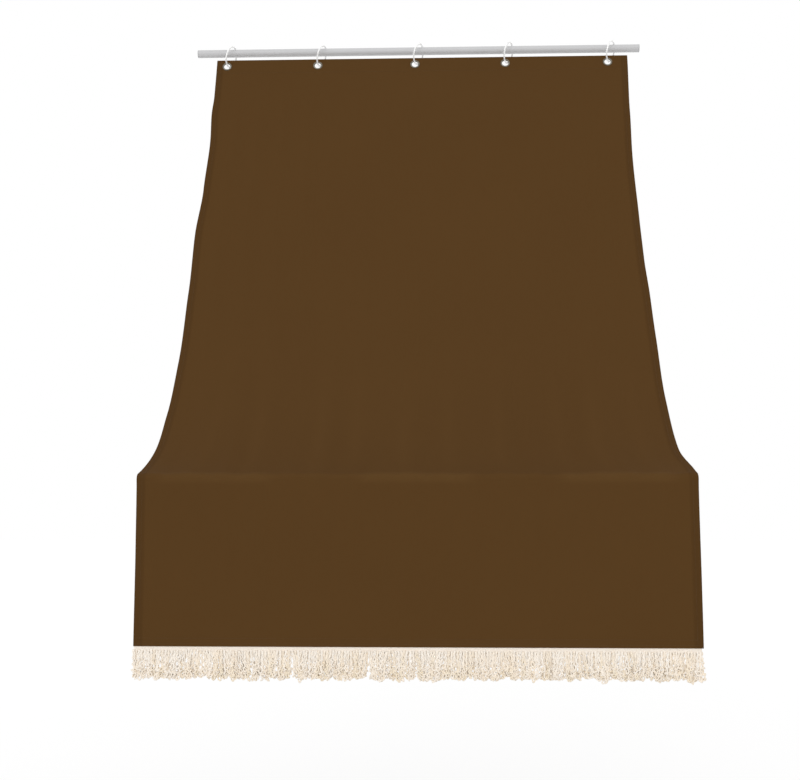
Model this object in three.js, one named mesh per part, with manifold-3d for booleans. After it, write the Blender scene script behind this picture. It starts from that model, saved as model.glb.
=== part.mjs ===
// A drop awning on its rail. A hemmed cloth hangs from five rings by metal eyelets, comes
// forward in a hanging curve, breaks over a level line and drops straight to a looped fringe.
// Millimetres. X runs along the rail, the front faces -Y and Z is up. The origin lies on the
// rail's axis at the middle of its length.
import * as THREE from "three";
import { mergeVertices } from "three/addons/utils/BufferGeometryUtils.js";
import ManifoldModule from "manifold-3d";

const wasm = await ManifoldModule();
wasm.setup();

// Rail and its end plugs
const RAIL_LENGTH = 1616;
const RAIL_DIAMETER = 28;
const RAIL_WALL = 1.5;
const PLUG_FLANGE = 2;
const PLUG_DEPTH = 22;
const PLUG_EDGE = 0.5;

// Clearance between pieces that touch
const SEAT_GAP = 0.3;

// Cloth as cut and hemmed
const CLOTH_WIDTH = 1500;
const CLOTH_LENGTH = 2395;
const CLOTH_THICKNESS = 0.8;
const CLOTH_CENTRE_X = 15;
const TOP_HEM = 60;
const SIDE_HEM = 18;
const BOTTOM_HEM = 24;
const HEM_STEP = 1;

// How the cloth hangs: a catenary from the rail's axis to the break, then a straight drop
const CURVE_RUN = 1037;
const CURVE_DROP = 1573;
const CURVE_SHAPE = 600;
const BREAK_RADIUS = 18;

// Rings
const RING_INNER_DIAMETER = 67.5;
const RING_WIRE = 5.5;
const RING_LEAN = 21;
const RING_TURNS = [10, 9, 17, 18.5, 20.5];
const RING_PARTING = 0.8;
const RING_PARTING_AT = 112;

// Eyelets, each placed from the cloth's left edge
const EYELET_PLACES = [38, 372, 728, 1057, 1428];
const EYELET_DROP = 27.5;
const EYELET_HOLE = 23;
const EYELET_FLANGE = 34;
const EYELET_BARREL_WALL = 1.5;
const EYELET_FLANGE_RISE = 2;
const EYELET_RIM = 0.6;
const EYELET_CURL = 2.2;
const EYELET_CURL_THICKNESS = 0.8;
const WASHER_DIAMETER = 33;
const WASHER_THICKNESS = 0.8;

// Fringe
const TAPE_HEIGHT = 20;
const TAPE_LAP = 10;
const TAPE_THICKNESS = 4;
const TAPE_INSET = 1.5;
const LOOP_COUNT = 62;
const LOOP_LENGTH = 73.5;
const LOOP_SPREAD = 12;
const LOOP_SPACE = 2.4;
const YARN_WIDTH = 7;
const YARN_DEPTH = 3.6;
const YARN_CRINKLE = 1.6;

// Cloth relief: shallow drape folds over the break, and a pull under each eyelet.
// Each drape fold is a place from the left edge, a width and a height.
const DRAPE_FOLDS = [
  [150, 60, 3], [285, 55, -2.5], [470, 62, 3.5], [575, 55, -2.5], [715, 60, 3],
  [845, 65, -3], [990, 60, 2.5], [1165, 70, -3.5], [1275, 60, 4], [1400, 55, -2],
];
const DRAPE_FOLD_START = 1180;
const DRAPE_FOLD_FULL = 1720;
const DRAPE_FOLD_END = 2060;
const PULL_WIDTH = 42;
const PULL_HEIGHT = 2.5;
const PULL_START = 60;
const PULL_FULL = 190;
const PULL_END = 560;

// How far each side edge wanders from straight, as [distance down the cloth, shift along X]
const LEFT_EDGE = [
  [0, 0], [160, 0], [236, -4], [360, 0], [560, -7], [760, -18.5], [1000, -13.5],
  [1300, -6], [1550, -1], [1730, 4], [1890, 0], [2390, 1],
];
const RIGHT_EDGE = [
  [0, -2], [240, -7], [444, -11], [700, -8], [860, -7], [1030, -2.5], [1200, -3],
  [1480, -9], [1740, -13.5], [1890, 0], [2390, 2.5],
];

// Mesh fineness
const ROUND_SEGMENTS = 28;
const EYELET_SEGMENTS = 16;
const RING_STEPS = 28;
const RING_SIDES = 6;
const CLOTH_COLUMN = 64;
const CURVE_ROW = 96;
const BREAK_ROWS = 4;
const LOOP_STEPS = 8;

const railRadius = RAIL_DIAMETER / 2;
const boreRadius = railRadius - RAIL_WALL;
const wireRadius = RING_WIRE / 2;
const ringRadius = RING_INNER_DIAMETER / 2 + wireRadius;
const holeRadius = EYELET_HOLE / 2;
const barrelRadius = holeRadius + EYELET_BARREL_WALL;
const hemThickness = 2 * CLOTH_THICKNESS;
const clothLeft = CLOTH_CENTRE_X - CLOTH_WIDTH / 2;

const finishes = {
  rail: new THREE.MeshStandardMaterial({ color: 0xc3c3c3, roughness: 0.35, metalness: 0.9 }),
  plug: new THREE.MeshStandardMaterial({ color: 0xb4b4b4, roughness: 0.5, metalness: 0 }),
  ring: new THREE.MeshStandardMaterial({ color: 0xf4f4f2, roughness: 0.3, metalness: 0 }),
  eyelet: new THREE.MeshStandardMaterial({ color: 0x7d7a74, roughness: 0.35, metalness: 1 }),
  cloth: new THREE.MeshStandardMaterial({ color: 0x563d21, roughness: 0.95, metalness: 0 }),
  fringe: new THREE.MeshStandardMaterial({ color: 0xecdfd1, roughness: 0.95, metalness: 0 }),
};

const awning = new THREE.Group();

// Add a copy of a finish and a name to a shape, and hang it in the awning
function addPiece(name, geometry, finish) {
  const mesh = new THREE.Mesh(geometry, finishes[finish].clone());
  mesh.name = name;
  awning.add(mesh);
  return mesh;
}

function toSolid(geometry) {
  const bare = geometry.clone();
  bare.deleteAttribute("normal");
  bare.deleteAttribute("uv");
  const merged = mergeVertices(bare, 1e-4);
  return new wasm.Manifold(new wasm.Mesh({
    numProp: 3,
    vertProperties: Float32Array.from(merged.attributes.position.array),
    triVerts: Uint32Array.from(merged.index.array),
  }));
}

function toGeometry(solid) {
  const mesh = solid.getMesh();
  const geometry = new THREE.BufferGeometry();
  geometry.setAttribute("position", new THREE.BufferAttribute(mesh.vertProperties, 3));
  geometry.setIndex(new THREE.BufferAttribute(mesh.triVerts, 1));
  return geometry;
}

function lathe(profile, segments) {
  return new THREE.LatheGeometry(profile.map(([r, y]) => new THREE.Vector2(r, y)), segments);
}

function degrees(angle) {
  return THREE.MathUtils.degToRad(angle);
}

// Smooth step from 0 to 1 while value goes from low to high
function ease(value, low, high) {
  return THREE.MathUtils.smoothstep(value, low, high);
}

// The hanging curve, measured by distance along it from the rail's axis
const vertexOut = CURVE_RUN / 2
  + CURVE_SHAPE * Math.asinh(CURVE_DROP / (2 * CURVE_SHAPE * Math.sinh(CURVE_RUN / (2 * CURVE_SHAPE))));
const startAngle = vertexOut / CURVE_SHAPE;
const endAngle = (vertexOut - CURVE_RUN) / CURVE_SHAPE;
const curveLength = CURVE_SHAPE * (Math.sinh(startAngle) - Math.sinh(endAngle));
const breakSlope = Math.atan(Math.sinh(endAngle));
const breakLength = BREAK_RADIUS * (Math.PI / 2 - breakSlope);
const breakOut = CURVE_RUN - BREAK_RADIUS * Math.sin(breakSlope);
const breakDown = CURVE_DROP + BREAK_RADIUS * Math.cos(breakSlope);

// Where the front of the cloth lies at a distance from the rail's axis: out from the rail,
// down from it, and the slope below level
function hang(distance) {
  if (distance <= curveLength) {
    const rise = Math.sinh(startAngle) - distance / CURVE_SHAPE;
    const angle = Math.asinh(rise);
    return {
      out: vertexOut - CURVE_SHAPE * angle,
      down: CURVE_SHAPE * (Math.cosh(startAngle) - Math.cosh(angle)),
      slope: Math.atan(rise),
    };
  }
  if (distance <= curveLength + breakLength) {
    const slope = breakSlope + (distance - curveLength) / BREAK_RADIUS;
    return {
      out: breakOut + BREAK_RADIUS * Math.sin(slope),
      down: breakDown - BREAK_RADIUS * Math.cos(slope),
      slope,
    };
  }
  const dropped = distance - curveLength - breakLength;
  return { out: breakOut + BREAK_RADIUS, down: breakDown + dropped, slope: Math.PI / 2 };
}

// Rings hang in line with the cloth's pull, which starts at the rail's axis
const pullTilt = Math.PI / 2 - hang(0).slope;
const pullUp = new THREE.Vector3(0, Math.sin(pullTilt), Math.cos(pullTilt));
const pullFront = new THREE.Vector3(0, -Math.cos(pullTilt), Math.sin(pullTilt));
const alongRail = new THREE.Vector3(1, 0, 0);

// The two directions in a ring's plane: up through its top, and level towards its front
function ringPlane(turn) {
  const front = pullFront.clone().multiplyScalar(Math.cos(degrees(turn)))
    .addScaledVector(alongRail, -Math.sin(degrees(turn)));
  const across = new THREE.Vector3().crossVectors(front, pullUp);
  if (across.x < 0) across.negate();
  const up = pullUp.clone().multiplyScalar(Math.cos(degrees(RING_LEAN)))
    .addScaledVector(across, Math.sin(degrees(RING_LEAN)));
  return { front, up };
}

// Distance from the rail's axis to the lowest point of a ring's centre line, when the ring
// rests on the rail. Each pass lowers the ring by what it stands too high.
function ringReach(turn) {
  const { front, up } = ringPlane(turn);
  const rest = railRadius + wireRadius + SEAT_GAP;
  const passes = 6;
  const samples = 720;
  let reach = 2 * ringRadius - rest;
  for (let pass = 0; pass < passes; pass += 1) {
    let nearest = Infinity;
    for (let i = 0; i < samples; i += 1) {
      const angle = 2 * Math.PI * i / samples;
      const point = pullUp.clone().multiplyScalar(-reach)
        .addScaledVector(up, ringRadius * (1 + Math.cos(angle)))
        .addScaledVector(front, ringRadius * Math.sin(angle));
      nearest = Math.min(nearest, Math.hypot(point.y, point.z));
    }
    reach += nearest - rest;
  }
  return reach;
}

const ringReaches = RING_TURNS.map(ringReach);
const eyeletDistance = Math.min(...ringReaches) - wireRadius - SEAT_GAP + holeRadius;
const clothStart = eyeletDistance - EYELET_DROP;

// Value of a wandering edge at a distance down the cloth
function edgeShift(points, down) {
  for (let i = 1; i < points.length; i += 1) {
    const [low, before] = points[i - 1];
    const [high, after] = points[i];
    if (down <= high) return before + (after - before) * ease(down, low, high);
  }
  return points[points.length - 1][1];
}

function bell(offset, width) {
  return Math.exp(-((offset / width) ** 2));
}

// Height of the cloth's relief at a place across and down the cloth
function relief(across, down) {
  const drape = ease(down, DRAPE_FOLD_START, DRAPE_FOLD_FULL)
    * (1 - ease(down, DRAPE_FOLD_FULL, DRAPE_FOLD_END));
  const pull = ease(down, PULL_START, PULL_FULL) * (1 - ease(down, PULL_FULL, PULL_END));
  const folds = DRAPE_FOLDS.reduce((sum, [place, width, height]) =>
    sum + height * bell(across - place, width), 0);
  const pulls = EYELET_PLACES.reduce((sum, place) =>
    sum + PULL_HEIGHT * bell(across - place, PULL_WIDTH), 0);
  return drape * folds + pull * pulls;
}

// A point of the cloth: across from the left edge, down from the top edge, and behind the
// front face
function clothPoint(across, down, behind) {
  const place = hang(clothStart + down);
  const share = across / CLOTH_WIDTH;
  const shift = edgeShift(LEFT_EDGE, down) * (1 - share) + edgeShift(RIGHT_EDGE, down) * share;
  const lift = relief(across, down) - behind;
  return new THREE.Vector3(
    clothLeft + across + shift,
    -place.out - lift * Math.sin(place.slope),
    -place.down + lift * Math.cos(place.slope),
  );
}

// Steps from low to high, no wider than widest
function steps(low, high, widest) {
  const count = Math.max(1, Math.ceil((high - low) / widest));
  return Array.from({ length: count }, (_, i) => low + (high - low) * i / count);
}

// The cloth is doubled at its hems, on the back
function clothThickness(across, down) {
  const inside = Math.min(
    ease(across, SIDE_HEM, SIDE_HEM + HEM_STEP),
    ease(CLOTH_WIDTH - across, SIDE_HEM, SIDE_HEM + HEM_STEP),
    ease(down, TOP_HEM, TOP_HEM + HEM_STEP),
    ease(CLOTH_LENGTH - down, BOTTOM_HEM, BOTTOM_HEM + HEM_STEP),
  );
  return hemThickness - (hemThickness - CLOTH_THICKNESS) * inside;
}

function makeCloth() {
  const columns = [0, SIDE_HEM,
    ...steps(SIDE_HEM + HEM_STEP, CLOTH_WIDTH - SIDE_HEM - HEM_STEP, CLOTH_COLUMN),
    CLOTH_WIDTH - SIDE_HEM - HEM_STEP, CLOTH_WIDTH - SIDE_HEM, CLOTH_WIDTH];
  const breakStart = curveLength - clothStart;
  const breakEnd = breakStart + breakLength;
  const rows = [0, TOP_HEM,
    ...steps(TOP_HEM + HEM_STEP, breakStart, CURVE_ROW),
    ...steps(breakStart, breakEnd, breakLength / BREAK_ROWS),
    ...steps(breakEnd, CLOTH_LENGTH - BOTTOM_HEM - HEM_STEP, 2 * CURVE_ROW),
    CLOTH_LENGTH - BOTTOM_HEM - HEM_STEP, CLOTH_LENGTH - BOTTOM_HEM, CLOTH_LENGTH];
  const points = [];
  for (const back of [0, 1]) {
    for (const down of rows) {
      for (const across of columns) {
        points.push(clothPoint(across, down, back * clothThickness(across, down)));
      }
    }
  }
  const width = columns.length;
  const layer = width * rows.length;
  const front = (row, column) => row * width + column;
  const rear = (row, column) => layer + front(row, column);
  const faces = [];
  const quad = (a, b, c, d) => faces.push(a, b, c, a, c, d);
  for (let r = 1; r < rows.length; r += 1) {
    for (let c = 1; c < width; c += 1) {
      quad(front(r - 1, c - 1), front(r, c - 1), front(r, c), front(r - 1, c));
      quad(rear(r - 1, c), rear(r, c), rear(r, c - 1), rear(r - 1, c - 1));
    }
    const right = width - 1;
    quad(rear(r - 1, 0), rear(r, 0), front(r, 0), front(r - 1, 0));
    quad(front(r - 1, right), front(r, right), rear(r, right), rear(r - 1, right));
  }
  for (let c = 1; c < width; c += 1) {
    const bottom = rows.length - 1;
    quad(front(0, c), rear(0, c), rear(0, c - 1), front(0, c - 1));
    quad(front(bottom, c - 1), rear(bottom, c - 1), rear(bottom, c), front(bottom, c));
  }
  const sheet = new THREE.BufferGeometry().setFromPoints(points);
  sheet.setIndex(faces);

  let cloth = toSolid(sheet);
  for (const place of EYELET_PLACES) {
    const punch = new THREE.CylinderGeometry(
      barrelRadius + SEAT_GAP, barrelRadius + SEAT_GAP, 20 * hemThickness, EYELET_SEGMENTS);
    punch.rotateX(Math.PI / 2);
    punch.applyMatrix4(eyeletFrame(place));
    cloth = cloth.subtract(toSolid(punch));
  }
  return toGeometry(cloth);
}

// Frame of an eyelet: its centre on the cloth's front, Z out of the front, Y up the cloth
function eyeletFrame(place) {
  const centre = clothPoint(place, EYELET_DROP, 0);
  const { slope } = hang(eyeletDistance);
  const out = new THREE.Vector3(0, -Math.sin(slope), Math.cos(slope));
  const up = new THREE.Vector3().crossVectors(out, alongRail);
  return new THREE.Matrix4().makeBasis(alongRail, up, out).setPosition(centre);
}

// Front flange, barrel and the curl rolled over the washer, with a rounded throat
function makeEyelet() {
  const top = SEAT_GAP + EYELET_FLANGE_RISE;
  const seat = -hemThickness - SEAT_GAP - WASHER_THICKNESS - SEAT_GAP;
  const bottom = seat - EYELET_CURL_THICKNESS;
  const round = (top - bottom) / 2;
  const centre = holeRadius + round;
  const arcPoints = 5;
  const throat = Array.from({ length: arcPoints + 1 }, (_, i) => {
    const angle = Math.PI * (0.5 + i / arcPoints);
    return [centre + round * Math.cos(angle), (top + bottom) / 2 + round * Math.sin(angle)];
  });
  const flangeRadius = EYELET_FLANGE / 2;
  const profile = [
    ...throat,
    [barrelRadius + EYELET_CURL, bottom + EYELET_CURL_THICKNESS / 2],
    [barrelRadius + EYELET_CURL, seat],
    [barrelRadius, seat],
    [barrelRadius, SEAT_GAP],
    [flangeRadius, SEAT_GAP],
    [flangeRadius, SEAT_GAP + EYELET_RIM],
    [(flangeRadius + centre) / 2, top - EYELET_RIM / 2],
    throat[0],
  ];
  return lathe(profile, EYELET_SEGMENTS).rotateX(Math.PI / 2);
}

function makeWasher() {
  const inner = barrelRadius + SEAT_GAP;
  const outer = WASHER_DIAMETER / 2;
  const top = -hemThickness - SEAT_GAP;
  const bottom = top - WASHER_THICKNESS;
  const profile = [[inner, bottom], [outer, bottom], [outer, top], [inner, top], [inner, bottom]];
  return lathe(profile, EYELET_SEGMENTS).rotateX(Math.PI / 2);
}

// Circle in the XY plane that starts and ends at the ring's parting
class RingPath extends THREE.Curve {
  getPoint(t, target = new THREE.Vector3()) {
    const opening = RING_PARTING / ringRadius;
    const angle = degrees(RING_PARTING_AT) + opening / 2 + t * (2 * Math.PI - opening);
    return target.set(ringRadius * Math.sin(angle), ringRadius * Math.cos(angle), 0);
  }
}

function makeRing() {
  const section = new THREE.Shape();
  for (let i = 0; i < RING_SIDES; i += 1) {
    const angle = 2 * Math.PI * (i + 0.5) / RING_SIDES;
    const point = [wireRadius * Math.cos(angle), wireRadius * Math.sin(angle)];
    if (i === 0) section.moveTo(...point);
    else section.lineTo(...point);
  }
  section.closePath();
  return new THREE.ExtrudeGeometry(section, { steps: RING_STEPS, extrudePath: new RingPath() });
}

// Steady variation between -1 and 1 for the fringe's loops
function waver(index, seed) {
  return Math.sin(index * 12.9898 + seed * 78.233);
}

function makeLoop(index, pitch) {
  const middle = (index + 0.5) * pitch + LOOP_SPACE * 0.25 * waver(index, 1);
  const length = LOOP_LENGTH * (1 + 0.1 * waver(index, 2) + 0.05 * waver(index, 3));
  const half = LOOP_SPREAD / 2;
  const lean = LOOP_SPACE * waver(index, 4);
  const strand = (side, level, seed) => new THREE.Vector3(
    middle + side * half + lean * level * 0.4 + YARN_CRINKLE * 0.5 * waver(index, seed),
    YARN_CRINKLE * waver(index, seed + 5) * ease(level, 0.2, 0.45),
    -length * level,
  );
  const root = TAPE_HEIGHT / 4 / length;
  const route = new THREE.CatmullRomCurve3([
    strand(-0.8, -root, 0), strand(-0.9, 0.2, 6), strand(-1.1, 0.45, 7), strand(-0.9, 0.7, 8),
    strand(-0.75, 0.9, 9), strand(0, 1, 10), strand(0.75, 0.9, 11), strand(0.9, 0.7, 12),
    strand(1.1, 0.45, 13), strand(0.9, 0.2, 14), strand(0.8, -root, 15),
  ]);
  const yarn = new THREE.Shape([
    new THREE.Vector2(-YARN_DEPTH / 2, 0), new THREE.Vector2(0, -YARN_WIDTH / 2),
    new THREE.Vector2(YARN_DEPTH / 2, 0), new THREE.Vector2(0, YARN_WIDTH / 2),
  ]);
  return new THREE.ExtrudeGeometry(yarn, { steps: LOOP_STEPS, extrudePath: route });
}

// Heading tape behind the bottom hem, with the loops grown into its lower edge
function makeFringe() {
  const hem = hang(clothStart + CLOTH_LENGTH);
  const length = CLOTH_WIDTH - 2 * TAPE_INSET;
  const tapeMiddle = -hem.out + hemThickness + SEAT_GAP + TAPE_THICKNESS / 2;
  const tapeBottom = -hem.down + TAPE_LAP - TAPE_HEIGHT;
  const tape = new THREE.BoxGeometry(length, TAPE_THICKNESS, TAPE_HEIGHT);
  tape.translate(CLOTH_CENTRE_X, tapeMiddle, tapeBottom + TAPE_HEIGHT / 2);
  let fringe = toSolid(tape);
  const pitch = length / LOOP_COUNT;
  for (let i = 0; i < LOOP_COUNT; i += 1) {
    const loop = makeLoop(i, pitch);
    loop.translate(clothLeft + TAPE_INSET, tapeMiddle, tapeBottom);
    fringe = fringe.add(toSolid(loop));
  }
  return toGeometry(fringe);
}

function addRail() {
  const half = RAIL_LENGTH / 2 - PLUG_FLANGE - SEAT_GAP;
  const tube = lathe([
    [boreRadius, -half], [railRadius, -half], [railRadius, half], [boreRadius, half],
    [boreRadius, -half],
  ], ROUND_SEGMENTS);
  addPiece("rail_tube", tube, "rail").rotation.z = -Math.PI / 2;

  const stem = boreRadius - SEAT_GAP;
  const plug = lathe([
    [0, -PLUG_FLANGE - PLUG_DEPTH], [stem - PLUG_EDGE, -PLUG_FLANGE - PLUG_DEPTH],
    [stem, -PLUG_FLANGE - PLUG_DEPTH + PLUG_EDGE], [stem, -PLUG_FLANGE],
    [railRadius, -PLUG_FLANGE], [railRadius, -PLUG_EDGE], [railRadius - PLUG_EDGE, 0], [0, 0],
  ], ROUND_SEGMENTS);
  for (const [name, side] of [["rail_plug_left", -1], ["rail_plug_right", 1]]) {
    const mesh = addPiece(name, plug.clone(), "plug");
    mesh.position.x = side * RAIL_LENGTH / 2;
    mesh.rotation.z = -side * Math.PI / 2;
  }
}

function addHangers() {
  const ring = makeRing();
  const eyelet = makeEyelet();
  const washer = makeWasher();
  EYELET_PLACES.forEach((place, i) => {
    const { front, up } = ringPlane(RING_TURNS[i]);
    const back = front.clone().negate();
    const side = new THREE.Vector3().crossVectors(back, up);
    const frame = eyeletFrame(place);
    const ringMesh = addPiece(`ring_${i + 1}`, ring.clone(), "ring");
    ringMesh.quaternion.setFromRotationMatrix(new THREE.Matrix4().makeBasis(back, up, side));
    ringMesh.position.x = new THREE.Vector3().setFromMatrixPosition(frame).x;
    ringMesh.position.addScaledVector(pullUp, -ringReaches[i]).addScaledVector(up, ringRadius);
    for (const [name, shape] of [["eyelet", eyelet], ["eyelet_washer", washer]]) {
      const mesh = addPiece(`${name}_${i + 1}`, shape.clone(), "eyelet");
      mesh.applyMatrix4(frame);
    }
  });
}

addRail();
addHangers();
addPiece("awning_cloth", makeCloth(), "cloth");
addPiece("fringe", makeFringe(), "fringe");

export default awning;
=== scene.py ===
import math
from contextlib import contextmanager

import bmesh
import bpy
import numpy as np
from mathutils import Matrix, Vector


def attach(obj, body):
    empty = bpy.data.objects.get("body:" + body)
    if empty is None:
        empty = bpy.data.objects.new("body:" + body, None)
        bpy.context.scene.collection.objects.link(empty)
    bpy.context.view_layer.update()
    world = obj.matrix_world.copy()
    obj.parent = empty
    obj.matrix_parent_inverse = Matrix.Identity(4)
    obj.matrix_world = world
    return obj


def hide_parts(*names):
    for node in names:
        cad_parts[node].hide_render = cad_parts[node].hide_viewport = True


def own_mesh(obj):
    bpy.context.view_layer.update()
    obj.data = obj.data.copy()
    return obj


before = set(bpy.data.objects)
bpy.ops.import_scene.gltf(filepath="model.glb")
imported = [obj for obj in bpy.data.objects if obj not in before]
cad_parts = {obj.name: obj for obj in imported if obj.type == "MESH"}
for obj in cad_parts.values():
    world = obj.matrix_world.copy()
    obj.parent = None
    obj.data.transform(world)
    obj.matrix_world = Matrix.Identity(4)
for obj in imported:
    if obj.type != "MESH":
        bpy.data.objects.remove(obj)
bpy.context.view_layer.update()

scene = bpy.context.scene

# Rail
RAIL_LENGTH = 1.616
RAIL_RADIUS = 0.014
RAIL_WALL = 0.0015
RAIL_EDGE = 0.0003
RAIL_SEGMENTS = 96
PLUG_FLANGE = 0.002
PLUG_DEPTH = 0.022
PLUG_EDGE = 0.0005
PLUG_SEGMENTS = 64
PLUG_DIMPLE_SHARES = (0.45, 0.4)
SEAT_GAP = 0.0003

# Cloth as cut and hemmed
CLOTH_WIDTH = 1.5
CLOTH_LENGTH = 2.395
CLOTH_THICKNESS = 0.0008
CLOTH_CENTRE_X = 0.015
TOP_HEM = 0.060
SIDE_HEM = 0.018
BOTTOM_HEM = 0.024
HEM_STEP = 0.001

# How the cloth hangs
CURVE_RUN = 1.037
CURVE_DROP = 1.573
CURVE_SHAPE = 0.6
BREAK_RADIUS = 0.018

# Rings and eyelets
RING_INNER_RADIUS = 0.03375
RING_WIRE_RADIUS = 0.00275
RING_LEAN = math.radians(21)
RING_TURNS = [math.radians(turn) for turn in (10, 9, 17, 18.5, 20.5)]
RING_PARTING = 0.0008
RING_PARTING_AT = math.radians(112)
RING_END_SHARE = 0.86
RING_STEPS = 108
RING_SIDES = 16
EYELET_PLACES = [0.038, 0.372, 0.728, 1.057, 1.428]
EYELET_DROP = 0.0275
EYELET_HOLE_RADIUS = 0.0115
EYELET_FLANGE_RADIUS = 0.017
EYELET_BARREL_WALL = 0.0015
EYELET_FLANGE_RISE = 0.002
EYELET_CURL = 0.0022
EYELET_CURL_THICKNESS = 0.0008
WASHER_RADIUS = 0.0165
WASHER_THICKNESS = 0.0008
NICKEL_EDGE = 0.0002
EYELET_SEGMENTS = 48
EYELET_BARREL_STEPS = 14
EYELET_RIM_STEPS = 6

# Fringe
TAPE_HEIGHT = 0.024
TAPE_LAP = 0.010
TAPE_THICKNESS = 0.004
TAPE_INSET = 0.0015
LOOP_ROWS = 4
LOOPS_IN_ROW = 96
LOOP_LENGTH = 0.0725
YARN_RADIUS = 0.0020

hem_thickness = 2 * CLOTH_THICKNESS
barrel_radius = EYELET_HOLE_RADIUS + EYELET_BARREL_WALL
ring_radius = RING_INNER_RADIUS + RING_WIRE_RADIUS
cloth_left = CLOTH_CENTRE_X - CLOTH_WIDTH / 2

# Bodies of the frame that the eyelets, rings and cloth ride on
CURTAIN = "curtain"
CARRIERS = [CURTAIN, "carrier_2", "carrier_3", "carrier_4", "carrier_5"]


# The camera stands a little right of the middle, level with the break, and looks up
CAMERA_PLACE = Vector((0.089, -4.259, -1.662))
CAMERA_YAW = math.radians(-2.047)
CAMERA_PITCH = math.radians(5.552)
CAMERA_LENS = 54
CAMERA_SENSOR = 36
CAMERA_SEES_TO = 200


def make_camera():
    forward = Vector((math.sin(CAMERA_YAW) * math.cos(CAMERA_PITCH),
                      math.cos(CAMERA_YAW) * math.cos(CAMERA_PITCH), math.sin(CAMERA_PITCH)))
    right = Vector((math.cos(CAMERA_YAW), -math.sin(CAMERA_YAW), 0))
    up = right.cross(forward)
    data = bpy.data.cameras.new("camera")
    data.lens = CAMERA_LENS
    data.sensor_width = CAMERA_SENSOR
    data.sensor_fit = "HORIZONTAL"
    data.clip_end = CAMERA_SEES_TO
    camera = bpy.data.objects.new("camera", data)
    camera.matrix_world = Matrix.Translation(CAMERA_PLACE) @ Matrix(
        (right, up, -forward)).transposed().to_4x4()
    scene.collection.objects.link(camera)
    scene.camera = camera


make_camera()


# Small helpers

def linear(red, green, blue):
    """A colour written as 0 to 255 for the screen, as the shader's linear values."""
    def channel(value):
        value /= 255
        return value / 12.92 if value <= 0.04045 else ((value + 0.055) / 1.055) ** 2.4
    return (channel(red), channel(green), channel(blue), 1.0)


def ease(value, low, high):
    """Smooth step from 0 to 1 while value goes from low to high."""
    share = np.clip((np.asarray(value, float) - low) / (high - low), 0, 1)
    return share * share * (3 - 2 * share)


def bell(offset, width):
    return np.exp(-((offset / width) ** 2))


def add_object(name, mesh):
    piece = bpy.data.objects.new(name, mesh)
    scene.collection.objects.link(piece)
    return piece


def mesh_from(name, points, faces, smooth=True):
    mesh = bpy.data.meshes.new(name)
    mesh.from_pydata([tuple(p) for p in points], [], faces)
    mesh.update()
    mesh.polygons.foreach_set("use_smooth", [smooth] * len(mesh.polygons))
    return mesh


def evaluated_mesh(piece):
    """The mesh that the piece's modifiers give, with nothing left live."""
    bpy.context.view_layer.update()
    graph = bpy.context.evaluated_depsgraph_get()
    return bpy.data.meshes.new_from_object(piece.evaluated_get(graph), depsgraph=graph)


@contextmanager
def bmesh_of(mesh):
    """Lends a mesh as a bmesh, and writes it back."""
    bm = bmesh.new()
    bm.from_mesh(mesh)
    yield bm
    bm.to_mesh(mesh)
    bm.free()


def mark_sharp(mesh, angle=math.radians(32)):
    with bmesh_of(mesh) as bm:
        for edge in bm.edges:
            if len(edge.link_faces) == 2 and edge.calc_face_angle() > angle:
                edge.smooth = False


def lathe(name, profile, segments, place, closed=True):
    """Turns a profile of (radius, height) points about Z. An open profile ends on the axis."""
    bm = bmesh.new()
    count = len(profile)
    turns = [2 * math.pi * i / segments for i in range(segments)]
    rings = []
    for radius, height in profile:
        if radius == 0:
            rings.append([bm.verts.new((0, 0, height))] * segments)
        else:
            rings.append([bm.verts.new((radius * math.cos(turn), radius * math.sin(turn), height))
                          for turn in turns])
    for r in range(count if closed else count - 1):
        low, high = rings[r], rings[(r + 1) % count]
        for i in range(segments):
            j = (i + 1) % segments
            corners = list(dict.fromkeys([low[i], low[j], high[j], high[i]]))
            if len(corners) > 2:
                bm.faces.new(corners)
    bmesh.ops.recalc_face_normals(bm, faces=bm.faces)
    bm.transform(place)
    mesh = bpy.data.meshes.new(name)
    bm.to_mesh(mesh)
    bm.free()
    mesh.polygons.foreach_set("use_smooth", [True] * len(mesh.polygons))
    return mesh


def two_sided_grid(height, width):
    """Point numbers of a grid, and the faces of its front and of a rear layer behind it."""
    layer = height * width
    index = np.arange(layer).reshape(height, width)
    a, b, c, d = index[:-1, :-1], index[1:, :-1], index[1:, 1:], index[:-1, 1:]
    faces = np.stack([a, b, c, d], -1).reshape(-1, 4).tolist()
    faces += (np.stack([d, c, b, a], -1).reshape(-1, 4) + layer).tolist()
    return index, faces


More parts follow.
